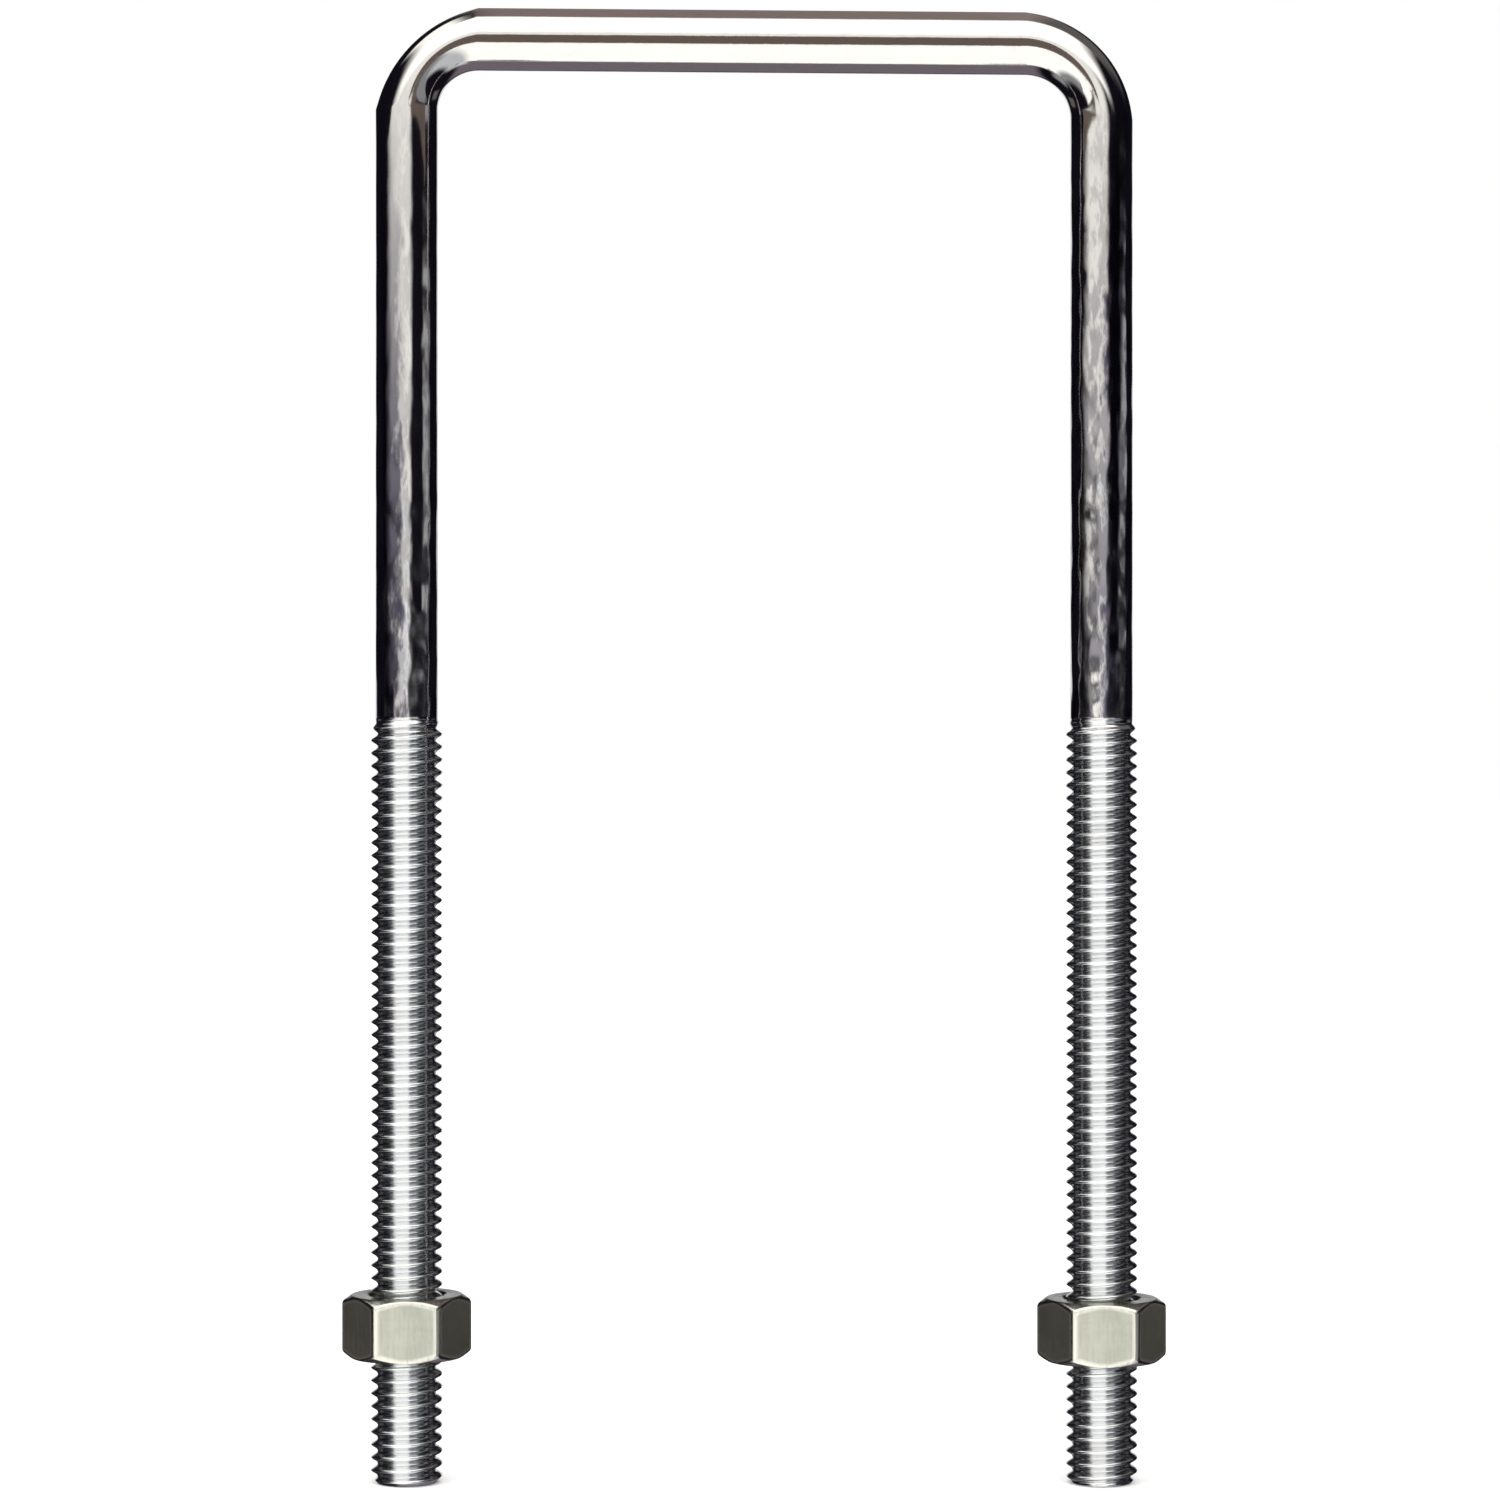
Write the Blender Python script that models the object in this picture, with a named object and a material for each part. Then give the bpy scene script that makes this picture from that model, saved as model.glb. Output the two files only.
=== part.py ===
"""Square-bend U-bolt, 5/16-18 UNC, with its two hex nuts. Blender 4.5, metres, +Z up.

The U stands in the XZ plane on the cut ends of its legs, with the crossbar on top. The
origin is midway between the two leg ends, in the plane of their flat ends.
Run it with: blender --background --python part.py
"""

import math

import bmesh
import bpy
from mathutils import Matrix, Vector

MM = 0.001
INCH = 0.0254

# Thread: 5/16-18 UNC, right-handed, rolled on a wire of about its pitch diameter.
PITCH = INCH / 18
MAJOR_RADIUS = INCH * 5 / 16 / 2
ROOT_RADIUS = MAJOR_RADIUS - 0.6134 * PITCH
WIRE_RADIUS = 3.425 * MM

# The U: width between the bare legs, length from the crossbar's underside to the
# leg ends, and how far the thread reaches up each leg with its run-out.
INSIDE_WIDTH = 2.75 * INCH
INSIDE_LENGTH = 6.125 * INCH
THREAD_LENGTH = 3.3125 * INCH
RUN_OUT = 1.5 * PITCH
LEFT_BEND = {"inside_radius": 4.5 * MM, "flattening": 0.15}
RIGHT_BEND = {"inside_radius": 5.0 * MM, "flattening": 0.06}
BEND_FLATTENING_POWER = 0.8
BAR_DROP = 0.6 * MM  # the crossbar is bent a little lower at its right end
LEG_X = INSIDE_WIDTH / 2 + WIRE_RADIUS
BAR_Z = INSIDE_LENGTH + WIRE_RADIUS

# How finely the rod is faceted: sides round the wire, and steps in each bend.
WIRE_SIDES = 16
BEND_STEPS = 8

# One pitch of the thread: how high each of its evenly spaced helical lines stands,
# from 0 at the root to 1 at the crest. A line stops short of the thread's ends by LEAST_GAP.
THREAD_LINES = (0.0, 1.0)
LEAST_GAP = 0.02 * PITCH
END_CHAMFER_SLOPE = 1.0

# Hex nut, 1/2 in nominal across flats, chamfered on both faces.
NUT_ACROSS_FLATS = 12.5 * MM
NUT_THICKNESS = 6.9 * MM
NUT_CORNER_RADIUS = 0.7 * MM
NUT_FACE_RADIUS = 6.1 * MM
NUT_CHAMFER = math.radians(33)
BORE_RADIUS = MAJOR_RADIUS + 0.12 * MM
COUNTERSINK_RADIUS = BORE_RADIUS + 0.35 * MM
NUT_SIDES = 32

# Where each nut stands on its leg, and how far its front flat is turned.
LEFT_NUT_HEIGHT = 17.3 * MM
RIGHT_NUT_HEIGHT = 16.9 * MM
LEFT_NUT_TURN = math.radians(4)
RIGHT_NUT_TURN = math.radians(-1)

ROD_COLOUR = (0.62, 0.62, 0.60)
NUT_COLOUR = (0.60, 0.60, 0.53)


def clear_scene():
    for obj in list(bpy.data.objects):
        bpy.data.objects.remove(obj)


def zinc_plated(name, colour, roughness):
    """A Principled material for bright zinc plating."""
    material = bpy.data.materials.new(name)
    material.use_nodes = True
    shader = material.node_tree.nodes["Principled BSDF"]
    shader.inputs["Base Color"].default_value = (*colour, 1)
    shader.inputs["Metallic"].default_value = 1
    shader.inputs["Roughness"].default_value = roughness
    return material


def linked(name, mesh, material=None):
    obj = bpy.data.objects.new(name, mesh)
    bpy.context.collection.objects.link(obj)
    if material:
        mesh.materials.append(material)
    return obj


def mesh_of(name, bm):
    mesh = bpy.data.meshes.new(name)
    bm.to_mesh(mesh)
    bm.free()
    return mesh


# ---- the rod ----


def thread_radius(height, ridge):
    """Radius at a height above the leg end, for a line at a share ridge of the thread's depth."""
    share = min(1, max(0, (THREAD_LENGTH - height) / RUN_OUT))
    root = WIRE_RADIUS + (ROOT_RADIUS - WIRE_RADIUS) * share
    crest = WIRE_RADIUS + (MAJOR_RADIUS - WIRE_RADIUS) * share
    chamfer = ROOT_RADIUS + END_CHAMFER_SLOPE * height
    return min(root + (crest - root) * ridge, chamfer)


def ring_angle(side):
    return math.tau * side / WIRE_SIDES


def ring_at(bm, centre, across, depth, squeeze=0.0):
    """A ring of wire round centre. Squeezing it pulls its outer side towards the bend's centre."""
    ring = []
    for side in range(WIRE_SIDES):
        angle = ring_angle(side)
        inwards = math.cos(angle) * (1 - squeeze) + squeeze
        offset = across * inwards + depth * math.sin(angle)
        ring.append(bm.verts.new(centre + offset * WIRE_RADIUS))
    return ring


def bridge(bm, lower, upper):
    for side in range(WIRE_SIDES):
        after = (side + 1) % WIRE_SIDES
        bm.faces.new((lower[side], lower[after], upper[after], upper[side]))


def thread_column(bm, foot, side):
    """The points up one side of a threaded leg: (point on the flat end, helical lines, plain point)."""
    angle = ring_angle(side)
    out = Vector((math.cos(angle), math.sin(angle), 0))
    rise = side / WIRE_SIDES
    lines = {}
    line = math.ceil((LEAST_GAP / PITCH - rise) * len(THREAD_LINES))
    height = (line / len(THREAD_LINES) + rise) * PITCH
    while height < THREAD_LENGTH - LEAST_GAP:
        radius = thread_radius(height, THREAD_LINES[line % len(THREAD_LINES)])
        lines[line] = bm.verts.new(foot + out * radius + Vector((0, 0, height)))
        line += 1
        height = (line / len(THREAD_LINES) + rise) * PITCH
    end = bm.verts.new(foot + out * ROOT_RADIUS)
    plain = bm.verts.new(foot + out * WIRE_RADIUS + Vector((0, 0, THREAD_LENGTH)))
    return end, lines, plain


def add_thread(bm, foot):
    """The threaded end of a leg standing on foot. Returns the plain ring above its run-out.

    The helical lines climb one pitch in a turn, so the last side of one turn meets the
    first side of the next a pitch further up. Each side holds the lines between the ends.
    """
    columns = [thread_column(bm, foot, side) for side in range(WIRE_SIDES)]
    end, lines, plain = columns[0]
    one_turn_up = {line - len(THREAD_LINES): vert for line, vert in lines.items()}
    columns.append((end, one_turn_up, plain))
    for (end, lines, plain), (next_end, next_lines, next_plain) in zip(columns, columns[1:]):
        first, last = min(lines), max(next_lines)
        begun = [next_lines[line] for line in range(min(next_lines), first + 1)]
        bm.faces.new((end, next_end, *begun, lines[first]))
        for line in range(first, last):
            bm.faces.new((lines[line], next_lines[line], next_lines[line + 1], lines[line + 1]))
        finished = [lines[line] for line in range(max(lines), last, -1)]
        bm.faces.new((lines[last], next_lines[last], next_plain, plain, *finished))
    bm.faces.new([end for end, _, _ in reversed(columns[:-1])])
    return [plain for _, _, plain in columns[:-1]]


def add_half_rod(bm, bend):
    """The leg on the -X side, its bend, and the crossbar as far as the middle."""
    across, depth = Vector((1, 0, 0)), Vector((0, 1, 0))
    ring = add_thread(bm, Vector((-LEG_X, 0, 0)))
    bend_radius = bend["inside_radius"] + WIRE_RADIUS
    bend_centre = Vector((-LEG_X + bend_radius, 0, BAR_Z - bend_radius))
    for step in range(BEND_STEPS + 1):
        turned = math.pi / 2 * step / BEND_STEPS
        inwards = Matrix.Rotation(turned, 3, "Y") @ across
        squeeze = bend["flattening"] * abs(math.sin(2 * turned)) ** BEND_FLATTENING_POWER
        centre = bend_centre - inwards * bend_radius
        following = ring_at(bm, centre, inwards, depth, squeeze)
        bridge(bm, ring, following)
        ring = following
    bridge(bm, ring, ring_at(bm, Vector((0, 0, BAR_Z)), inwards, depth))


def tilt_bar(bm):
    """Raises the left bend and lowers the right one, and slopes the crossbar between them."""
    above = THREAD_LENGTH + RUN_OUT
    for vert in bm.verts:
        if vert.co.z > above:
            vert.co.z -= BAR_DROP * vert.co.x / (2 * LEG_X)


def make_rod():
    """Both halves of the rod, the right one turned half a turn about Z, joined at the middle."""
    bm = bmesh.new()
    add_half_rod(bm, RIGHT_BEND)
    half_turn = Matrix.Rotation(math.pi, 4, "Z")
    bmesh.ops.transform(bm, matrix=half_turn, verts=bm.verts)
    add_half_rod(bm, LEFT_BEND)
    bmesh.ops.remove_doubles(bm, verts=bm.verts, dist=0.001 * MM)
    tilt_bar(bm)
    material = zinc_plated("rod_zinc", ROD_COLOUR, 0.18)
    rod = linked("bent_rod", mesh_of("bent_rod", bm), material)
    rod.data.shade_smooth()
    rod.data.set_sharp_from_angle(angle=math.radians(40))
    return rod


# ---- the nuts ----


def make_turned(name, profile):
    """A helper solid turned about Z from (radius, height) points that run from bottom to top."""
    bm = bmesh.new()
    line = [bm.verts.new((radius, 0, height)) for radius, height in profile]
    edges = [bm.edges.new(pair) for pair in zip(line, line[1:])]
    bmesh.ops.spin(
        bm,
        geom=line + edges,
        axis=(0, 0, 1),
        angle=math.tau,
        steps=NUT_SIDES,
        use_merge=True,
    )
    bmesh.ops.remove_doubles(bm, verts=bm.verts, dist=0.001 * MM)
    bmesh.ops.recalc_face_normals(bm, faces=bm.faces)
    helper = linked(name, mesh_of(name, bm))
    helper.hide_render = True
    helper.display_type = "WIRE"
    return helper


def nut_envelope():
    """The two chamfer cones, wide enough to leave the flats to the hexagon."""
    half = NUT_THICKNESS / 2
    wide = NUT_ACROSS_FLATS * 0.7
    drop = (wide - NUT_FACE_RADIUS) * math.tan(NUT_CHAMFER)
    profile = (
        (0, -half),
        (NUT_FACE_RADIUS, -half),
        (wide, drop - half),
        (wide, half - drop),
        (NUT_FACE_RADIUS, half),
        (0, half),
    )
    return make_turned("nut_envelope", profile)


def nut_bore():
    """The bore with a 45 degree countersink at each face, longer than the nut."""
    half = NUT_THICKNESS / 2
    sink = COUNTERSINK_RADIUS - BORE_RADIUS
    past = 1.0 * MM
    profile = (
        (0, -half - past),
        (COUNTERSINK_RADIUS + past, -half - past),
        (BORE_RADIUS, sink - half),
        (BORE_RADIUS, half - sink),
        (COUNTERSINK_RADIUS + past, half + past),
        (0, half + past),
    )
    return make_turned("nut_bore", profile)


def hexagon_bar():
    """A hexagonal bar longer than the nut, a flat facing -Y, its corners rounded."""
    bm = bmesh.new()
    corner_radius = NUT_ACROSS_FLATS / 2 / math.cos(math.pi / 6)
    bmesh.ops.create_cone(
        bm,
        cap_ends=True,
        segments=6,
        radius1=corner_radius,
        radius2=corner_radius,
        depth=NUT_THICKNESS + 2 * MM,
        matrix=Matrix.Rotation(math.pi / 6, 4, "Z"),
    )
    upright = [edge for edge in bm.edges if edge.verts[0].co.z * edge.verts[1].co.z < 0]
    bmesh.ops.bevel(
        bm,
        geom=upright,
        offset=NUT_CORNER_RADIUS * math.tan(math.pi / 6),
        segments=3,
        affect="EDGES",
        profile=0.5,
    )
    return mesh_of("hex_nut", bm)


def add_boolean(obj, operation, other):
    modifier = obj.modifiers.new(f"{operation.lower()} {other.name}", "BOOLEAN")
    modifier.operation = operation
    modifier.object = other
    modifier.solver = "EXACT"


def make_nuts():
    """Two nuts that share one mesh, each standing on its own leg's axis."""
    envelope, bore = nut_envelope(), nut_bore()
    blank = linked("hex_nut_blank", hexagon_bar())
    add_boolean(blank, "INTERSECT", envelope)
    add_boolean(blank, "DIFFERENCE", bore)
    bpy.context.view_layer.update()
    graph = bpy.context.evaluated_depsgraph_get()
    mesh = bpy.data.meshes.new_from_object(blank.evaluated_get(graph))
    mesh.name = "hex_nut"
    mesh.materials.clear()
    mesh.materials.append(zinc_plated("nut_zinc", NUT_COLOUR, 0.3))
    mesh.shade_smooth()
    mesh.set_sharp_from_angle(angle=math.radians(20))
    for helper in (blank, envelope, bore):
        bpy.data.objects.remove(helper)

    places = (
        ("left_nut", -LEG_X, LEFT_NUT_HEIGHT, LEFT_NUT_TURN),
        ("right_nut", LEG_X, RIGHT_NUT_HEIGHT, RIGHT_NUT_TURN),
    )
    for name, x, height, turn in places:
        nut = linked(name, mesh)
        nut.location = (x, 0, height)
        nut.rotation_euler.z = turn


def main():
    clear_scene()
    make_rod()
    make_nuts()


main()
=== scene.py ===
"""Looks of the square-bend U-bolt: the bent rod with its rolled threads, and its two hex nuts.

Metres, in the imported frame. The U stands in the XZ plane on its leg ends, its left leg at -X,
and +Y points away from the camera.
"""

import math

import bpy
from mathutils import Matrix, Vector


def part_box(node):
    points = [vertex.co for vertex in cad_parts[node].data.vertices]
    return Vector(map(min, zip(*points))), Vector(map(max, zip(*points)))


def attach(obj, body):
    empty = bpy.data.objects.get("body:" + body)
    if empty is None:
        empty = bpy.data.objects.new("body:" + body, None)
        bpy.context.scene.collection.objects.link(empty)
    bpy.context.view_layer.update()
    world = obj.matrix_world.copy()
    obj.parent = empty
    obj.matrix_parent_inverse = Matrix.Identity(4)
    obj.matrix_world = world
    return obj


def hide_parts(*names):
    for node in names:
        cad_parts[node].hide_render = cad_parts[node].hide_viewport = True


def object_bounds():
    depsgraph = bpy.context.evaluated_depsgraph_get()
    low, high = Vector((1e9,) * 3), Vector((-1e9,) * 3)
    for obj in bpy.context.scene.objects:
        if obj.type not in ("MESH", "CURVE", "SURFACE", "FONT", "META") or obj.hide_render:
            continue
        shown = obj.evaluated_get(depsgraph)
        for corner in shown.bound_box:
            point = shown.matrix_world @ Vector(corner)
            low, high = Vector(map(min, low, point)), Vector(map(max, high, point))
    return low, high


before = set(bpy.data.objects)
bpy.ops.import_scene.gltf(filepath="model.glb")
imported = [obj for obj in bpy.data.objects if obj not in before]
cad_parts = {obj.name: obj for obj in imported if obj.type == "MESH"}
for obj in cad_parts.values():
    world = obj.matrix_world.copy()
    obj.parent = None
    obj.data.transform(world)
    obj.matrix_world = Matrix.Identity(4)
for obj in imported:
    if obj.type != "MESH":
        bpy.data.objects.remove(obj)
cad_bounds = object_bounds()

MM = 0.001
INCH = 0.0254

# ---- sizes that the CAD was driven by ----

PITCH = INCH / 18
WIRE_RADIUS = 3.425 * MM
INSIDE_LENGTH = 6.125 * INCH
THREAD_LENGTH = 3.3125 * INCH
LEFT_BEND = {"inside_radius": 4.5 * MM, "flattening": 0.15, "tarnish": 0.5}
RIGHT_BEND = {"inside_radius": 5.0 * MM, "flattening": 0.06, "tarnish": 0.85}
BEND_FLATTENING_POWER = 0.8
BAR_DROP = 0.6 * MM
TILTED_PART = 0.5  # of the height above the thread, over which the bar's tilt grows
NUT_ACROSS_FLATS = 12.5 * MM
NUT_CORNER_RADIUS = 0.7 * MM
NUT_FACE_RADIUS = 6.1 * MM
NUT_CHAMFER = math.radians(33)
LEFT_NUT_TURN = math.radians(4)
RIGHT_NUT_TURN = math.radians(-1)

# ---- sizes read from the frame ----

ROD_LOW, ROD_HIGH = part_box("bent_rod")
MAJOR_RADIUS = (ROD_HIGH.y - ROD_LOW.y) / 2
LEG_X = ROD_HIGH.x - MAJOR_RADIUS
BAR_Z = INSIDE_LENGTH + WIRE_RADIUS

# ---- the thread's form ----

THREAD_STEPS = 12  # lines of points in one pitch
RUN_OUT = 1.1 * PITCH
END_CHAMFER_SLOPE = 1.0
THREAD_DEPTH = 5 / 8 * math.cos(math.radians(30)) * PITCH
ROOT_RADIUS = MAJOR_RADIUS - THREAD_DEPTH
CREST_FLAT = 1 / 8  # of a pitch
FLANK_LENGTH = 5 / 16  # of a pitch, along the axis
CREST_ROUNDING = 0.3
ROOT_ROUNDING = 0.45
LEAST_GAP = 0.02 * PITCH  # between a line of points and the end of its wall

# ---- how finely things are divided ----

ROD_SIDES = 48
BEND_STEPS = 24
SHANK_STEP = 4 * MM
FIRST_SHANK_STEP = 0.3 * MM
WELD_DISTANCE = 0.002 * MM

# ---- how the tarnish runs up the shank ----

TARNISH_POWER = 0.7
TARNISH_AT_BEND = 0.3  # of the tarnish at the top of the thread
TARNISH_ENDS = math.radians(25)  # how far round the bend it reaches

# ---- the nut's fine form ----

NUT_FACE_EDGE_RADIUS = 0.3 * MM
NUT_SHOULDER_RADIUS = 0.6 * MM
CHAMFER_TO_FACE_EDGE = 0.3  # the most of the chamfer's width that its lower edge's rounding takes
CHAMFER_TO_SHOULDER = 0.6
NUT_EDGE_STEPS = 6
DARK_CHAMFER = (0.15, 0.8)  # where, across the chamfer, its painted shade starts and ends
NUT_RIM = 0.35 * MM  # how far the rubbing and painted highlight along an edge reach into a flat
FLAT_STEPS = 5
CORNER_STEPS = 6
NUT_MINOR_RADIUS = 3.22 * MM
NUT_THREAD_CLEARANCE = 0.06 * MM
COUNTERSINK_RADIUS = 4.45 * MM
COUNTERSINK_SLOPE = 1.0
NORMAL_WEIGHT = 80  # how far the flats' own normals win over their edges


# ---- curves used by the shapes ----


def soft_minimum(a, b, rounding):
    """The lesser of a and b, with the corner between them rounded."""
    overlap = max(rounding - abs(a - b), 0) / rounding
    return min(a, b) - overlap * overlap * rounding / 4


def ridge_at(share):
    """How high the thread stands, from 0 in its root to 1 on its crest, at a share of a pitch."""
    from_crest = abs(share % 1 - 0.5)
    flank = (CREST_FLAT / 2 + FLANK_LENGTH - from_crest) / FLANK_LENGTH
    below_crest = soft_minimum(flank, 1, CREST_ROUNDING)
    return -soft_minimum(-below_crest, 0, ROOT_ROUNDING)


def fillet(before, corner, after, radius, steps):
    """Points of the arc of this radius that rounds the corner of a flat outline."""
    back = (before - corner).normalized()
    ahead = (after - corner).normalized()
    half = back.angle(ahead) / 2
    centre = corner + (back + ahead).normalized() * (radius / math.sin(half))
    first = corner + back * (radius / math.tan(half)) - centre
    last = corner + ahead * (radius / math.tan(half)) - centre
    sweep = math.pi - 2 * half
    points = []
    for step in range(steps + 1):
        turned = sweep * step / steps
        blend = first * math.sin(sweep - turned) + last * math.sin(turned)
        points.append(centre + blend / math.sin(sweep))
    return points


# ---- meshes ----


class Surface:
    """A growing mesh: points, faces, and for each point the values that the materials read."""

    def __init__(self):
        self.points = []
        self.values = []
        self.faces = []
        self.face_materials = []

    def point(self, place, wire=(0, 0, 0), shade=0.0):
        self.points.append(Vector(place))
        self.values.append((Vector(wire), shade))
        return len(self.points) - 1

    def face(self, corners, material=0):
        self.faces.append(tuple(corners))
        self.face_materials.append(material)

    def bridge(self, lower, upper, material=0):
        """Faces between two rings that have the same number of points."""
        for side in range(len(lower)):
            after = (side + 1) % len(lower)
            self.face((lower[side], lower[after], upper[after], upper[side]), material)

    def flip(self):
        self.faces = [corners[::-1] for corners in self.faces]

    def move(self, matrix):
        self.points = [matrix @ point for point in self.points]

    def add(self, other):
        first = len(self.points)
        self.points += other.points
        self.values += other.values
        for corners, material in zip(other.faces, other.face_materials):
            self.face([first + corner for corner in corners], material)

    def to_object(self, name, materials):
        mesh = bpy.data.meshes.new(name)
        mesh.from_pydata(self.points, [], self.faces)
        for material in materials:
            mesh.materials.append(material)
        mesh.polygons.foreach_set("material_index", self.face_materials)
        wire = mesh.attributes.new("wire", "FLOAT_VECTOR", "POINT")
        wire.data.foreach_set("vector", [axis for value in self.values for axis in value[0]])
        shade = mesh.attributes.new("shade", "FLOAT", "POINT")
        shade.data.foreach_set("value", [value[1] for value in self.values])
        mesh.validate()
        mesh.shade_smooth()
        obj = bpy.data.objects.new(name, mesh)
        bpy.context.collection.objects.link(obj)
        return obj


def wind_thread(surface, angles, length, radius_at, start=0.0, material=0):
    """A threaded wall on z = 0. Returns its bottom ring and its top ring, which are level circles.

    The lines of points climb one pitch in a turn, so the last column of one turn meets the
    first column one pitch further up. Each column holds the lines that lie between the ends.
    """

    def add_point(angle, height, ridge):
        radius = radius_at(height, ridge)
        spot = (radius * math.cos(angle), radius * math.sin(angle), height)
        return surface.point(spot, spot, ridge)

    columns = []
    for angle in angles:
        rise = angle / math.tau + start
        line = math.ceil((LEAST_GAP / PITCH - rise) * THREAD_STEPS)
        column = {}
        height = (line / THREAD_STEPS + rise) * PITCH
        while height < length - LEAST_GAP:
            column[line] = add_point(angle, height, ridge_at(line / THREAD_STEPS))
            line += 1
            height = (line / THREAD_STEPS + rise) * PITCH
        columns.append((add_point(angle, 0, 0), column, add_point(angle, length, 0)))
    bottom, column, top = columns[0]
    one_turn_up = {line - THREAD_STEPS: index for line, index in column.items()}
    columns.append((bottom, one_turn_up, top))

    for (bottom, column, top), (next_bottom, next_column, next_top) in zip(columns, columns[1:]):
        first, last = min(column), max(next_column)
        added = [next_column[line] for line in range(min(next_column), first + 1)]
        surface.face((bottom, next_bottom, *added, column[first]), material)
        for line in range(first, last):
            surface.face(
                (column[line], next_column[line], next_column[line + 1], column[line + 1]),
                material,
            )
        dropped = [column[line] for line in range(max(column), last, -1)]
        surface.face((column[last], next_column[last], next_top, top, *dropped), material)
    return [bottom for bottom, _, _ in columns[:-1]], [top for _, _, top in columns[:-1]]


# ---- the rod ----

SHANK, THREAD, CUT_END = range(3)


def rod_radius(height, ridge):
    """Radius of the threaded end of a leg, which starts at the wire's size past the run-out."""
    share = min(1, max(0, (THREAD_LENGTH - height) / RUN_OUT))
    root = WIRE_RADIUS + (ROOT_RADIUS - WIRE_RADIUS) * share
    crest = WIRE_RADIUS + (MAJOR_RADIUS - WIRE_RADIUS) * share
    return min(root + (crest - root) * ridge, ROOT_RADIUS + END_CHAMFER_SLOPE * height)


def wire_ring(surface, centre, across, along, squeeze=0.0, tarnish=0.0):
    """A ring of wire round centre. Squeezing it pulls its outer side towards the bend's centre."""
    ring = []
    for side in range(ROD_SIDES):
        angle = math.tau * side / ROD_SIDES
        around = Vector((math.cos(angle), math.sin(angle)))
        inwards = around.x * (1 - squeeze) + squeeze
        offset = across * inwards + Vector((0, 1, 0)) * around.y
        wire = (around.x * WIRE_RADIUS, around.y * WIRE_RADIUS, along)
        ring.append(surface.point(centre + offset * WIRE_RADIUS, wire, tarnish))
    return ring


def half_rod(bend):
    """The left leg, its bend, and the crossbar as far as the middle.

    The plating is clean on the crossbar and ever more tarnished down the leg.
    """
    surface = Surface()
    angles = [math.tau * side / ROD_SIDES for side in range(ROD_SIDES)]
    end, ring = wind_thread(surface, angles, THREAD_LENGTH, rod_radius, material=THREAD)
    surface.face(reversed(end), CUT_END)
    leg = Matrix.Translation((-LEG_X, 0, 0))
    surface.move(leg)

    across = Vector((1, 0, 0))
    bend_radius = bend["inside_radius"] + WIRE_RADIUS
    bend_start = BAR_Z - bend_radius
    shank_rings = math.ceil((bend_start - THREAD_LENGTH) / SHANK_STEP)
    for step in range(shank_rings):
        climbed = (bend_start - THREAD_LENGTH) * step / shank_rings
        height = THREAD_LENGTH + max(climbed, FIRST_SHANK_STEP)
        downwards = (1 - step / shank_rings) ** TARNISH_POWER
        tarnish = bend["tarnish"] * (TARNISH_AT_BEND + (1 - TARNISH_AT_BEND) * downwards)
        place = Vector((-LEG_X, 0, height))
        following = wire_ring(surface, place, across, height, tarnish=tarnish)
        surface.bridge(ring, following, SHANK)
        ring = following

    centre = Vector((-LEG_X + bend_radius, 0, bend_start))
    for step in range(BEND_STEPS + 1):
        turned = math.pi / 2 * step / BEND_STEPS
        inwards = Matrix.Rotation(turned, 3, "Y") @ across
        squeeze = bend["flattening"] * abs(math.sin(2 * turned)) ** BEND_FLATTENING_POWER
        along = bend_start + bend_radius * turned
        tarnish = bend["tarnish"] * TARNISH_AT_BEND * max(0, 1 - turned / TARNISH_ENDS)
        place = centre - inwards * bend_radius
        following = wire_ring(surface, place, inwards, along, squeeze, tarnish)
        surface.bridge(ring, following, SHANK)
        ring = following

    bar_length = LEG_X - bend_radius
    bar_rings = math.ceil(bar_length / SHANK_STEP)
    bar_start = bend_start + bend_radius * math.pi / 2
    for step in range(1, bar_rings + 1):
        reach = bar_length * step / bar_rings
        place = Vector((reach - bar_length, 0, BAR_Z))
        following = wire_ring(surface, place, inwards, bar_start + reach)
        surface.bridge(ring, following, SHANK)
        ring = following
    return surface


def tilt_bar(surface):
    """Raises the left bend and lowers the right one, and slopes the crossbar between them."""
    for point in surface.points:
        if point.z > THREAD_LENGTH:
            rise = min(1, (point.z - THREAD_LENGTH) / (BAR_Z - THREAD_LENGTH) / TILTED_PART)
            point.z -= rise * BAR_DROP * point.x / (2 * LEG_X)


def make_rod(materials):
    """Both halves of the rod, the right one turned half a turn about Z, joined at the middle."""
    rod = half_rod(RIGHT_BEND)
    rod.move(Matrix.Rotation(math.pi, 4, "Z"))
    rod.add(half_rod(LEFT_BEND))
    tilt_bar(rod)
    obj = rod.to_object("rolled_rod", materials)
    weld = obj.modifiers.new("join the halves", "WELD")
    weld.merge_threshold = WELD_DISTANCE
    return obj


# ---- the nuts ----


def hexagon_outline():
    """(x, y, value) points round a hexagon with rounded corners, a flat facing -Y. The value is 1
    on the corners, for rubbing and a painted highlight, and 0 on the flats.
    """
    apothem = NUT_ACROSS_FLATS / 2
    half_flat = (apothem - NUT_CORNER_RADIUS) * math.tan(math.pi / 6)
    reach = half_flat - NUT_RIM
    flat = [reach * (2 * step / FLAT_STEPS - 1) for step in range(FLAT_STEPS + 1)]
    outline = []
    for side in range(6):
        turn = Matrix.Rotation(math.radians(60 * side), 2)
        for across in flat:
            outline.append((*(turn @ Vector((across, -apothem))), 0.0))
        centre = turn @ Vector((half_flat, -(apothem - NUT_CORNER_RADIUS)))
        for step in range(CORNER_STEPS + 1):
            angle = math.radians(60 * side - 90 + 60 * step / CORNER_STEPS)
            around = Vector((math.cos(angle), math.sin(angle)))
            outline.append((*(centre + around * NUT_CORNER_RADIUS), 1.0))
    return outline


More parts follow.
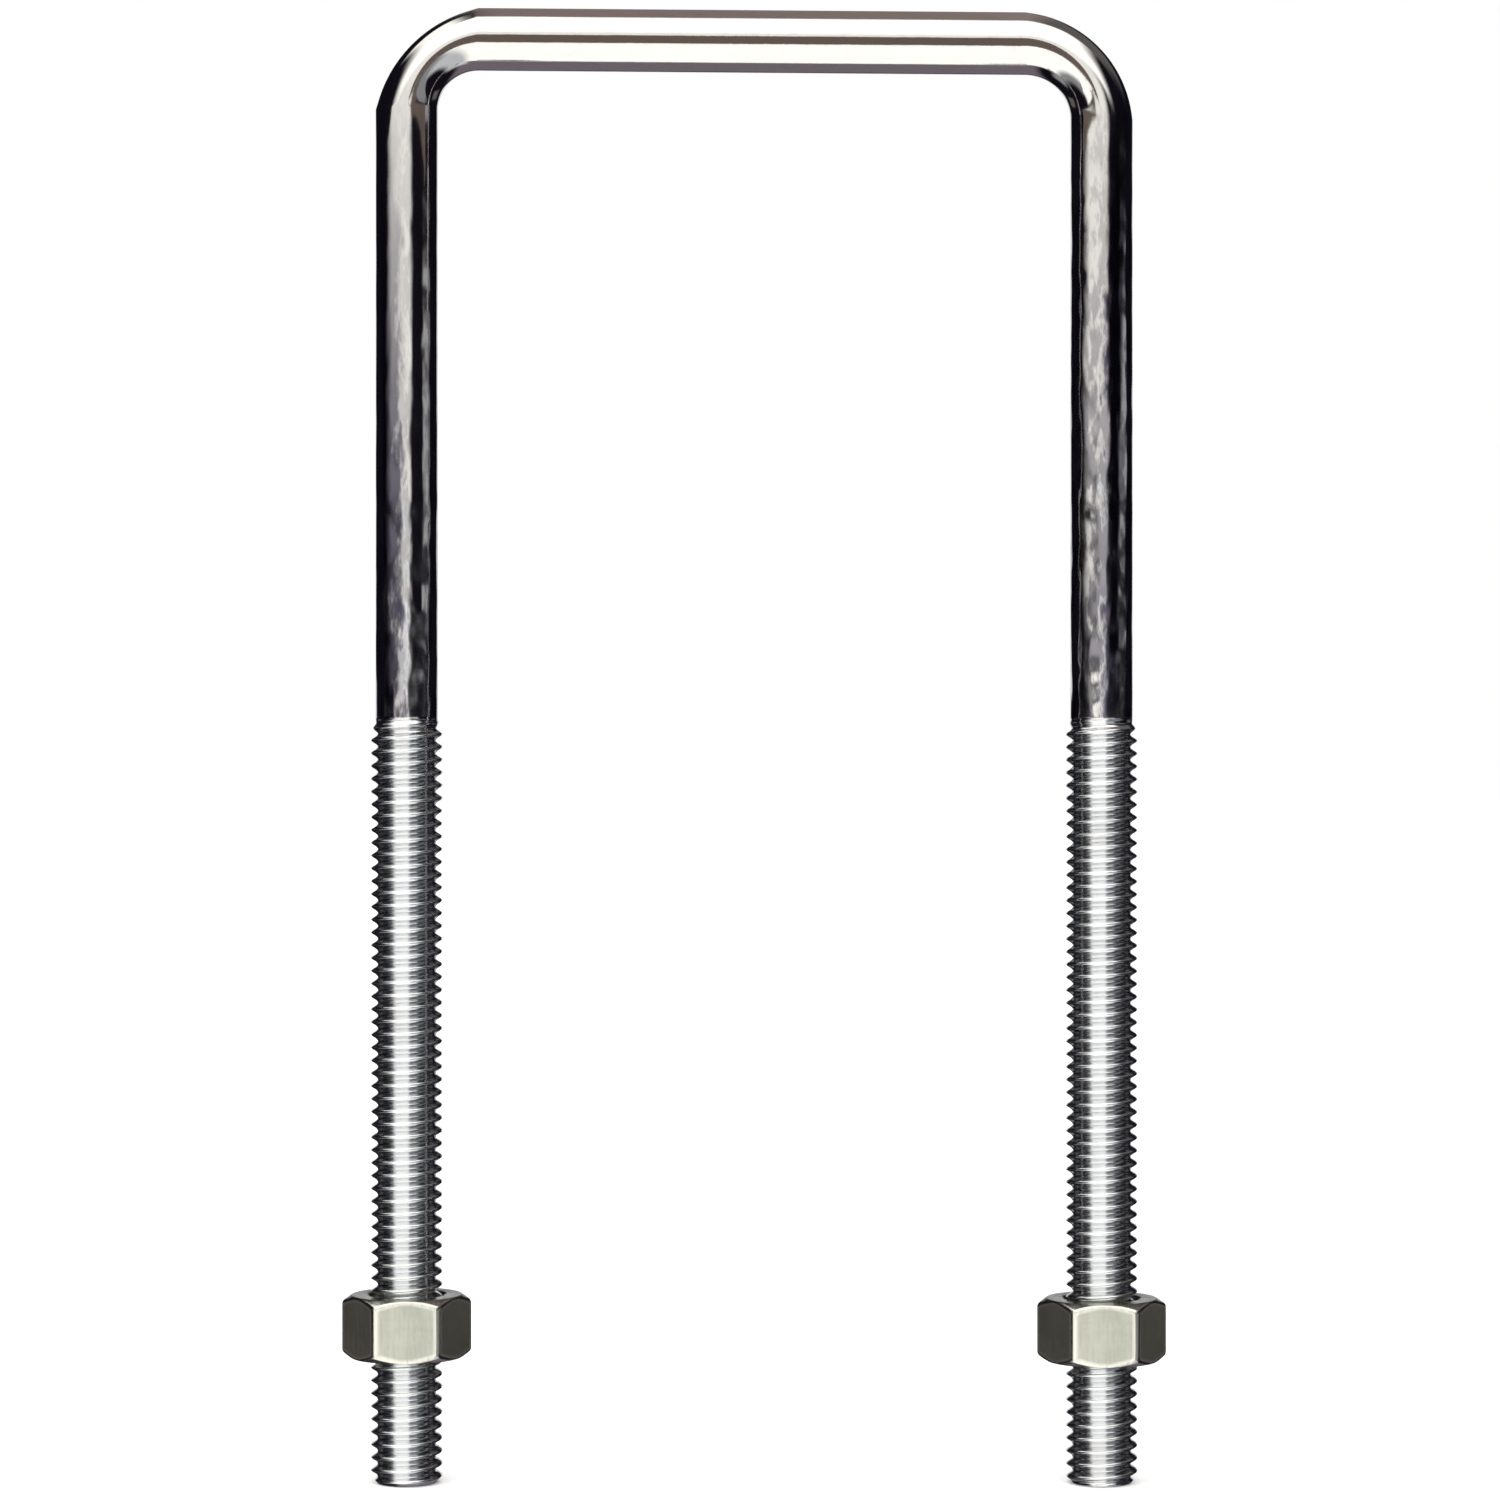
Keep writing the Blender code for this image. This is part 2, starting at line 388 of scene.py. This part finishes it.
def nut_profile(reach, thickness):
    """(radius, height, value) points from the lower face's edge up to mid height, where the wall
    stands at this reach from the axis. The value is 1 on edges, for rubbing and a painted
    highlight, 0 on flats, and -1 on the chamfer, for painted shade."""
    drop = (reach - NUT_FACE_RADIUS) * math.tan(NUT_CHAMFER)
    inner = Vector((COUNTERSINK_RADIUS, 0))
    edge = Vector((NUT_FACE_RADIUS, 0))
    shoulder = Vector((reach, drop))
    middle = Vector((reach, thickness / 2))
    chamfer = (shoulder - edge).length
    face_room = chamfer * CHAMFER_TO_FACE_EDGE / math.tan(NUT_CHAMFER / 2)
    shoulder_room = chamfer * CHAMFER_TO_SHOULDER / math.tan((math.pi / 2 - NUT_CHAMFER) / 2)
    face_radius = min(NUT_FACE_EDGE_RADIUS, face_room)
    shoulder_radius = min(NUT_SHOULDER_RADIUS, shoulder_room)
    face_edge = fillet(inner, edge, shoulder, face_radius, NUT_EDGE_STEPS)
    wall_edge = fillet(edge, shoulder, middle, shoulder_radius, NUT_EDGE_STEPS)
    face_rim = edge - Vector((NUT_RIM, 0))
    wall_rim = wall_edge[-1] + Vector((0, NUT_RIM))
    # the middle of the chamfer carries painted shade
    chamfer_ends = [face_edge[-1].lerp(wall_edge[0], share) for share in DARK_CHAMFER]
    profile = [(*face_rim, 0.0)]
    profile += [(*place, 0.0) for place in face_edge]
    profile += [(*place, -1.0) for place in chamfer_ends]
    profile += [(*place, 1.0) for place in wall_edge]
    profile += [(*wall_rim, 0.0), (*middle, 0.0)]
    return profile


def nut_wall_radius(thickness):
    """The radius of the nut's internal thread, which opens into a countersink at each face."""

    def radius_at(height, ridge):
        thread = ROOT_RADIUS + (MAJOR_RADIUS - ROOT_RADIUS) * ridge + NUT_THREAD_CLEARANCE
        from_face = min(height, thickness - height)
        countersink = COUNTERSINK_RADIUS - COUNTERSINK_SLOPE * from_face
        return max(thread, NUT_MINOR_RADIUS, countersink)

    return radius_at


def make_nut(name, node, turn, leg_turn, materials):
    """A hex nut on its leg's axis, its internal thread in step with that leg's thread."""
    low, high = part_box(node)
    thickness = high.z - low.z
    outline = hexagon_outline()
    angles = [math.atan2(y, x) % math.tau for x, y, _ in outline]
    first = angles.index(min(angles))
    outline = outline[first:] + outline[:first]
    angles = angles[first:] + angles[:first]

    surface = Surface()
    start = (turn - leg_turn) / math.tau - low.z / PITCH
    bottom, top = wind_thread(surface, angles, thickness, nut_wall_radius(thickness), start)
    surface.flip()

    rings = []
    for (x, y, corner_rub_and_highlight), angle in zip(outline, angles):
        reach = math.hypot(x, y)
        lower = nut_profile(reach, thickness)
        upper = [(radius, thickness - height, rubbing_and_painted_light) for radius, height, rubbing_and_painted_light in lower[-2::-1]]
        column = []
        for radius, height, rubbing_and_painted_light in lower + upper:
            spot = (radius * math.cos(angle), radius * math.sin(angle), height)
            # the wall's rounded corners carry the edges' rubbing and painted highlight
            on_wall = radius > reach - NUT_SHOULDER_RADIUS
            column.append(surface.point(spot, spot, max(rubbing_and_painted_light, corner_rub_and_highlight * on_wall)))
        rings.append(column)
    levels = [bottom] + [list(level) for level in zip(*rings)] + [top]
    for lower, upper in zip(levels, levels[1:]):
        surface.bridge(lower, upper)

    leg = Matrix.Translation(((low.x + high.x) / 2, 0, low.z))
    surface.move(leg @ Matrix.Rotation(turn, 4, "Z"))
    nut = surface.to_object(name, materials)
    normals = nut.modifiers.new("flat flats", "WEIGHTED_NORMAL")
    normals.weight = NORMAL_WEIGHT
    return nut


# ---- node trees ----


def add_node(tree, kind, inputs, **settings):
    """A node with its inputs set, or linked where the value is another node's output."""
    node = tree.nodes.new(kind)
    for name, value in settings.items():
        setattr(node, name, value)
    for name, value in inputs.items():
        socket = node.inputs[name]
        if isinstance(value, bpy.types.NodeSocket):
            tree.links.new(value, socket)
        else:
            socket.default_value = value
    return node


def calculate(tree, operation, a, b=0.0):
    return add_node(tree, "ShaderNodeMath", {0: a, 1: b}, operation=operation).outputs[0]


def ramp(tree, value, low, high, at_low=0.0, at_high=1.0):
    """at_low where value is low, at_high where it is high, and a smooth step between."""
    inputs = {0: value, 1: low, 2: high, 3: at_low, 4: at_high}
    node = add_node(tree, "ShaderNodeMapRange", inputs, interpolation_type="SMOOTHSTEP")
    return node.outputs[0]


def band(tree, value, low, high, soft):
    """1 where value lies between low and high, falling to 0 over a width of soft at each."""
    rising = ramp(tree, value, low - soft / 2, low + soft / 2)
    falling = ramp(tree, value, high - soft / 2, high + soft / 2, 1.0, 0.0)
    return calculate(tree, "MULTIPLY", rising, falling)


def mix_colour(tree, share, first, second):
    """first where share is 0 and second where it is 1."""
    inputs = {0: share, 6: first, 7: second}
    return add_node(tree, "ShaderNodeMix", inputs, data_type="RGBA").outputs[2]


def grain(tree, place, scale, stretch=(1, 1, 1), detail=3.0, roughness=0.5):
    """Noise of about 1/scale metres, stretched by these factors along the place's axes."""
    squeezed = tuple(scale / factor for factor in stretch)
    mapping = add_node(tree, "ShaderNodeMapping", {"Vector": place, "Scale": squeezed})
    inputs = {
        "Vector": mapping.outputs[0],
        "Scale": 1.0,
        "Detail": detail,
        "Roughness": roughness,
    }
    return add_node(tree, "ShaderNodeTexNoise", inputs).outputs[0]


# ---- materials ----

CLEAN_ZINC = (0.85, 0.835, 0.81, 1)
GREYED_ZINC = (0.75, 0.735, 0.74, 1)
# colour of the tarnish patches and of the painted shade on the legs' outer sides
TARNISH_AND_SHADE_ZINC = (0.12, 0.11, 0.155, 1)
THREAD_FLANK_ZINC = (0.78, 0.795, 0.81, 1)
THREAD_CREST_ZINC = (0.90, 0.92, 0.93, 1)
THREAD_CLOUD_ZINC = (0.74, 0.74, 0.75, 1)
CUT_DARK = (0.45, 0.45, 0.46, 1)
CUT_BRIGHT = (0.74, 0.74, 0.73, 1)
OLIVE_ZINC = (0.54, 0.55, 0.475, 1)
DEEP_OLIVE_ZINC = (0.46, 0.475, 0.405, 1)
# painted shade: the colour that darkens the nut's chamfers
CHAMFER_PAINTED_SHADE = (0.17, 0.175, 0.14, 1)
# rubbed plating and painted highlight along the nut's edges
RUBBED_AND_HIGHLIGHT_ZINC = (0.86, 0.85, 0.78, 1)

SHANK_RELIEF = 0.15 * MM
DIE_LINE_SHARE = 0.008  # of the shank's relief
MOTTLE_SHARE = 0.03
DENT_SHARE = 1.2
THREAD_RELIEF = 0.006 * MM
CUT_RELIEF = 0.05 * MM
NUT_RELIEF = 0.02 * MM

# the strip of painted shade on the outer side of each leg, measured across the wire from its axis
SIDE_SHADE_INNER_EDGE = (0.0, -1.4 * MM)
SIDE_SHADE_OUTER_EDGE = (-3.7 * MM, -3.1 * MM)
INNER_EDGE_SHIFT = 0.9 * MM  # inwards, where the tarnish is full
OUTER_EDGE_SHIFT = 2.4 * MM
LEAST_RAGGED = 1.5 * MM
MOST_RAGGED = 5.0 * MM


def new_metal(name):
    """A material whose shader is fully metallic, with the nodes that read the mesh's values."""
    material = bpy.data.materials.new(name)
    material.use_nodes = True
    tree = material.node_tree
    shader = tree.nodes["Principled BSDF"]
    shader.inputs["Metallic"].default_value = 1.0
    place = add_node(tree, "ShaderNodeAttribute", {}, attribute_name="wire").outputs["Vector"]
    shade = add_node(tree, "ShaderNodeAttribute", {}, attribute_name="shade").outputs["Fac"]
    return material, tree, shader, place, shade


def set_relief(tree, shader, height, depth):
    """Bumps the surface by a height from 0 to 1 that stands for this depth in metres."""
    inputs = {"Height": height, "Distance": depth, "Strength": 1.0}
    bump = add_node(tree, "ShaderNodeBump", inputs)
    tree.links.new(bump.outputs[0], shader.inputs["Normal"])


def outer_side_shade(tree, place, stains, tarnish):
    """How much painted shade lies on a leg's outer side, which is the wire's own -X. The more the
    leg is tarnished, the further inwards the strip lies and the more ragged its inner edge is."""
    across = add_node(tree, "ShaderNodeSeparateXYZ", {0: place}).outputs["X"]
    raggedness = ramp(tree, tarnish, 0.1, 0.5, LEAST_RAGGED, MOST_RAGGED)
    ragged = calculate(tree, "MULTIPLY", calculate(tree, "SUBTRACT", stains, 0.5), raggedness)
    inner_shift = calculate(tree, "MULTIPLY", tarnish, INNER_EDGE_SHIFT)
    outer_shift = calculate(tree, "MULTIPLY", tarnish, OUTER_EDGE_SHIFT)
    inwards = calculate(tree, "SUBTRACT", calculate(tree, "ADD", across, ragged), inner_shift)
    outwards = calculate(tree, "SUBTRACT", across, outer_shift)
    side_shade = ramp(tree, inwards, *SIDE_SHADE_INNER_EDGE)
    side_shade = calculate(tree, "MULTIPLY", side_shade, ramp(tree, outwards, *SIDE_SHADE_OUTER_EDGE))
    return calculate(tree, "MULTIPLY", side_shade, ramp(tree, tarnish, 0.05, 0.45))


def shank_metal():
    """Drawn wire under bright zinc: faint die lines along it, clean on the bar, and down the legs
    violet-grey tarnish, with painted shade along each leg's outer side, and long ragged dents."""
    material, tree, shader, place, tarnish = new_metal("bright_zinc_on_drawn_wire")
    mottle = grain(tree, place, 900, stretch=(1, 1, 2.2), detail=4, roughness=0.62)
    stains = grain(tree, place, 780, stretch=(1, 1, 3.6), detail=3, roughness=0.6)
    dents = grain(tree, place, 560, stretch=(1, 1, 2.8), detail=1, roughness=0.5)
    lines = grain(tree, place, 5000, stretch=(1, 1, 60), detail=2)

    colour = mix_colour(tree, ramp(tree, mottle, 0.45, 0.68, 0.0, 0.5), CLEAN_ZINC, GREYED_ZINC)
    tarnish_and_side_shade = calculate(tree, "MULTIPLY", tarnish, ramp(tree, stains, 0.42, 0.56, 0.15, 1.0))
    # painted shade darkens each leg's outer side, on top of the tarnish patches
    tarnish_and_side_shade = calculate(tree, "MAXIMUM", tarnish_and_side_shade, outer_side_shade(tree, place, stains, tarnish))
    colour = mix_colour(tree, tarnish_and_side_shade, colour, TARNISH_AND_SHADE_ZINC)
    tree.links.new(colour, shader.inputs["Base Color"])

    dull = calculate(tree, "ADD", tarnish_and_side_shade, mottle)
    tree.links.new(ramp(tree, dull, 0.3, 1.4, 0.07, 0.12), shader.inputs["Roughness"])

    relief = calculate(tree, "MULTIPLY", lines, DIE_LINE_SHARE)
    relief = calculate(tree, "ADD", relief, calculate(tree, "MULTIPLY", mottle, MOTTLE_SHARE))
    dented = calculate(tree, "MULTIPLY", dents, ramp(tree, tarnish, 0.0, 0.6, 0.0, DENT_SHARE))
    relief = calculate(tree, "ADD", relief, dented)
    set_relief(tree, shader, relief, SHANK_RELIEF)
    return material


def thread_metal():
    """Rolled thread under zinc: bluish silver, lighter on the crests and darker down the flanks
    into the roots.
    """
    material, tree, shader, place, ridge = new_metal("zinc_on_rolled_thread")
    speckle = grain(tree, place, 1500, detail=3, roughness=0.6)
    clouds = grain(tree, place, 260, stretch=(1, 1, 2), detail=3)
    crest_share = ramp(tree, ridge, 0.0, 0.8)
    colour = mix_colour(tree, crest_share, THREAD_FLANK_ZINC, THREAD_CREST_ZINC)
    clouded = ramp(tree, clouds, 0.48, 0.7, 0.0, 0.6)
    colour = mix_colour(tree, clouded, colour, THREAD_CLOUD_ZINC)
    tree.links.new(colour, shader.inputs["Base Color"])
    tree.links.new(ramp(tree, speckle, 0.2, 0.8, 0.13, 0.22), shader.inputs["Roughness"])
    set_relief(tree, shader, speckle, THREAD_RELIEF)
    return material


def cut_end_metal():
    """The sheared end of a leg: dull, with the shear's parallel marks."""
    material, tree, shader, place, _ = new_metal("zinc_on_cut_end")
    marks = grain(tree, place, 3200, stretch=(14, 1, 1), detail=3)
    tree.links.new(mix_colour(tree, marks, CUT_DARK, CUT_BRIGHT), shader.inputs["Base Color"])
    tree.links.new(ramp(tree, marks, 0.2, 0.8, 0.5, 0.34), shader.inputs["Roughness"])
    set_relief(tree, shader, marks, CUT_RELIEF)
    return material


def nut_metal():
    """Cold-formed nut under olive-tinted zinc: satin flats, edges lightened for rubbing and a
    painted highlight, and painted shade on the chamfers.
    """
    material, tree, shader, place, rubbing_and_painted_light = new_metal("olive_zinc_on_nut")
    clouds = grain(tree, place, 240, detail=3, roughness=0.6)
    scuffs = grain(tree, place, 2600, stretch=(1, 1, 9), detail=3, roughness=0.6)
    colour = mix_colour(tree, ramp(tree, clouds, 0.35, 0.68), OLIVE_ZINC, DEEP_OLIVE_ZINC)
    # painted shade: the chamfer, where the value falls below 0, is darkened
    colour = mix_colour(tree, ramp(tree, rubbing_and_painted_light, 0.0, -0.8), colour, CHAMFER_PAINTED_SHADE)
    # edges lightened, partly rubbing and partly a painted highlight
    edge_lightening = calculate(tree, "MAXIMUM", rubbing_and_painted_light, 0.0)
    rubbed_and_highlit = calculate(tree, "MULTIPLY", edge_lightening, ramp(tree, scuffs, 0.2, 0.6, 0.5, 1.0))
    colour = mix_colour(tree, rubbed_and_highlit, colour, RUBBED_AND_HIGHLIGHT_ZINC)
    tree.links.new(colour, shader.inputs["Base Color"])
    tree.links.new(ramp(tree, scuffs, 0.2, 0.8, 0.17, 0.27), shader.inputs["Roughness"])
    set_relief(tree, shader, scuffs, NUT_RELIEF)
    return material


# ---- light, floor and camera ----

CAMERA_DISTANCE = 460 * MM
CAMERA_HEIGHT = 80.8 * MM
CAMERA_X = -0.46 * MM
VIEW_WIDTH = 165.6 * MM
SENSOR = 36.0
NEAREST_SEEN = 10 * MM
FLOOR_RADIUS = 6.0
FLOOR_GAP = 0.05 * MM
FLOOR_COLOUR = (0.86, 0.86, 0.86, 1)
TOP_LIGHT_SPREAD = math.radians(120)
TOP_LIGHT_STRENGTH = 3.6
FLAG_DISTANCE = 20 * MM
FLAG_LOW_ANGLE = math.radians(-18)
FLAG_HIGH_ANGLE = math.radians(9)
FLAG_BEND_ANGLE = math.radians(62)
FLAG_BEND_STEPS = 12
FLAG_COLOUR = (0.14, 0.11, 0.095, 1)

WARM_WHITE = (1.0, 0.985, 0.945)
COOL_WHITE = (0.95, 0.975, 1.0)
WARM_GREY = (1.0, 0.93, 0.86)
DARK_BROWN = (1.0, 0.80, 0.74)
DULL_VIOLET = (1.0, 0.86, 0.98)
DARK_VIOLET = (0.006, 0.005, 0.009)


def studio_light():
    """A dark studio with soft panels, so that round bright metal shows long clear highlights.

    climb is the angle in degrees above the front horizon, over the top and down behind, and
    below it where negative. round_ is the angle in degrees to the right of straight ahead of the
    object. aside and up are how far a direction points that way, from -1 to 1. Each panel has a
    colour, a level, and bands of these, each from, to, and how soft both of its edges are.
    """
    world = bpy.data.worlds.new("studio")
    world.use_nodes = True
    bpy.context.scene.world = world
    tree = world.node_tree
    direction = add_node(tree, "ShaderNodeTexCoord", {}).outputs["Generated"]
    parts = add_node(tree, "ShaderNodeSeparateXYZ", {0: direction})
    aside, away, up = parts.outputs
    ahead = calculate(tree, "MULTIPLY", away, -1)
    climb = calculate(tree, "DEGREES", calculate(tree, "ARCTAN2", up, ahead))
    round_ = calculate(tree, "DEGREES", calculate(tree, "ARCTAN2", aside, ahead))
    steep = calculate(tree, "ABSOLUTE", climb)
    steep_round = calculate(tree, "ABSOLUTE", round_)
    over = (up, 0.3, 2, 0.2)
    under = (up, -2, -0.3, 0.2)
    panels = (
        # overhead panel, from well above the front horizon to just short of straight up,
        # and its far left corner, which reaches a little behind
        (WARM_WHITE, 1.45, (climb, 22, 84, 8), (aside, -0.67, 0.60, 0.26)),
        (WARM_WHITE, 1.20, (climb, 84, 118, 8), (aside, -0.68, -0.34, 0.16)),
        # front panel, left of the camera, whose lower edge is cut away at its left
        (WARM_WHITE, 0.95, (climb, 3.0, 22, 3), (aside, -0.88, 0.34, 0.26)),
        (COOL_WHITE, 0.90, (climb, 0.2, 3.0, 1.2), (aside, -0.30, 0.24, 0.22)),
        # the table before the object, and its dimmer right and left sides
        (WARM_WHITE, 1.25, (climb, -20, 0.2, 1.2), (aside, -0.75, 0.22, 0.12)),
        (WARM_WHITE, 1.25, (climb, -94, -20, 6), (aside, -0.60, 0.22, 0.20)),
        (COOL_WHITE, 0.26, (climb, -24, -0.5, 3), (aside, 0.22, 0.97, 0.12)),
        (COOL_WHITE, 0.58, (climb, -104, -24, 14), (aside, 0.22, 0.66, 0.16)),
        (COOL_WHITE, 0.28, (climb, -120, -20, 14), (aside, -0.80, -0.54, 0.14)),
        # the dim studio over and under the back
        (DARK_BROWN, 0.22, (climb, 84, 160, 12), (aside, -0.2, 0.2, 0.24), over),
        (WARM_GREY, 0.11, (climb, 84, 140, 14), (aside, 0.14, 0.80, 0.24), over),
        (DULL_VIOLET, 0.16, (climb, -160, -94, 12), (aside, -0.2, 0.45, 0.24), under),
        # back panel
        (COOL_WHITE, 0.80, (steep, 170, 400, 4), (aside, -0.42, 0.42, 0.12)),
        # a lit gap at the right, and the faint walls beside the object
        (COOL_WHITE, 0.38, (round_, 66, 96, 10), (up, 0.045, 0.11, 0.02)),
        (WARM_GREY, 0.11, (steep_round, 108, 133, 8), (up, -0.26, -0.06, 0.06)),
    )
    total = add_node(tree, "ShaderNodeVectorMath", {0: DARK_VIOLET}, operation="ADD")
    for colour, level, first_band, *more_bands in panels:
        share = band(tree, *first_band)
        for another in more_bands:
            share = calculate(tree, "MULTIPLY", share, band(tree, *another))
        inputs = {0: tuple(level * channel for channel in colour), "Scale": share}
        glow = add_node(tree, "ShaderNodeVectorMath", inputs, operation="SCALE")
        inputs = {0: total.outputs[0], 1: glow.outputs[0]}
        total = add_node(tree, "ShaderNodeVectorMath", inputs, operation="ADD")
    seen = add_node(tree, "ShaderNodeLightPath", {}).outputs["Is Camera Ray"]
    shown = mix_colour(tree, seen, total.outputs[0], (1, 1, 1, 1))
    tree.links.new(shown, tree.nodes["Background"].inputs["Color"])


def stage_plane(name, corners, material):
    """A flat sheet of the studio, which isn't part of the object."""
    mesh = bpy.data.meshes.new(name)
    mesh.from_pydata(corners, [], [range(len(corners))])
    mesh.materials.append(material)
    plane = bpy.data.objects.new(name, mesh)
    bpy.context.collection.objects.link(plane)
    return plane


def add_floor():
    """A pale floor just under the leg ends, which the metal doesn't mirror."""
    material = bpy.data.materials.new("pale_floor")
    material.use_nodes = True
    shader = material.node_tree.nodes["Principled BSDF"]
    shader.inputs["Base Color"].default_value = FLOOR_COLOUR
    shader.inputs["Roughness"].default_value = 1.0
    shader.inputs["Specular IOR Level"].default_value = 0.0
    height = cad_bounds[0].z - FLOOR_GAP
    around = ((-1, -1), (1, -1), (1, 1), (-1, 1))
    corners = [(x * FLOOR_RADIUS, y * FLOOR_RADIUS, height) for x, y in around]
    floor = stage_plane("floor", corners, material)
    floor.visible_glossy = False
    floor.visible_shadow = False


def flag_edges(bend, side):
    """The flag's lower and upper edges before one bend (side -1 or 1), from the crossbar to the
    point where it has narrowed to nothing."""
    low = FLAG_DISTANCE * math.tan(FLAG_LOW_ANGLE)
    high = FLAG_DISTANCE * math.tan(FLAG_HIGH_ANGLE)
    bend_radius = bend["inside_radius"] + WIRE_RADIUS
    centre = Vector((side * (LEG_X - bend_radius), -FLAG_DISTANCE, BAR_Z - bend_radius))
    middle = bend_radius + (low + high) / 2
    lower = []
    upper = []
    for step in range(FLAG_BEND_STEPS + 1):
        share = step / FLAG_BEND_STEPS
        turned = FLAG_BEND_ANGLE * share
        outwards = Vector((side * math.sin(turned), 0, math.cos(turned)))
        half_width = (high - low) / 2 * (1 - share ** 2)
        lower.append(centre + outwards * (middle - half_width))
        upper.append(centre + outwards * (middle + half_width))
    return lower, upper


def add_flag():
    """A dark strip close before the crossbar that only reflections see. It draws the fine line
    along the middle of the bar, and narrows to nothing part of the way round each bend."""
    material = bpy.data.materials.new("dark_flag")
    material.use_nodes = True
    shader = material.node_tree.nodes["Principled BSDF"]
    shader.inputs["Base Color"].default_value = (0, 0, 0, 1)
    shader.inputs["Specular IOR Level"].default_value = 0.0
    shader.inputs["Emission Color"].default_value = FLAG_COLOUR
    shader.inputs["Emission Strength"].default_value = 1.0
    left_lower, left_upper = flag_edges(LEFT_BEND, -1)
    right_lower, right_upper = flag_edges(RIGHT_BEND, 1)
    corners = left_lower[::-1] + right_lower + right_upper[::-1] + left_upper
    flag = stage_plane("flag", corners, material)
    flag.visible_camera = False


def add_top_light():
    """Very soft light from above that whitens the floor. The metal mirrors the studio instead."""
    data = bpy.data.lights.new("top_light", "SUN")
    data.angle = TOP_LIGHT_SPREAD
    data.energy = TOP_LIGHT_STRENGTH
    light = bpy.data.objects.new("top_light", data)
    light.visible_glossy = False
    light.visible_camera = False
    bpy.context.collection.objects.link(light)


def add_camera():
    data = bpy.data.cameras.new("camera")
    data.sensor_width = SENSOR
    data.lens = SENSOR * CAMERA_DISTANCE / VIEW_WIDTH
    data.clip_start = NEAREST_SEEN
    camera = bpy.data.objects.new("camera", data)
    camera.location = (CAMERA_X, -CAMERA_DISTANCE, CAMERA_HEIGHT)
    camera.rotation_euler.x = math.pi / 2
    bpy.context.collection.objects.link(camera)
    bpy.context.scene.camera = camera


def main():
    studio_light()
    add_floor()
    add_flag()
    add_top_light()
    add_camera()
    bpy.context.scene.view_settings.view_transform = "Standard"

    rod = make_rod((shank_metal(), thread_metal(), cut_end_metal()))
    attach(rod, "rod")
    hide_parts("bent_rod")

    plated = nut_metal()
    nuts = (("left_nut", LEFT_NUT_TURN, 0.0), ("right_nut", RIGHT_NUT_TURN, math.pi))
    for node, turn, leg_turn in nuts:
        nut = make_nut(f"{node}_threaded", node, turn, leg_turn, (plated,))
        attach(nut, node)
        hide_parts(node)


main()
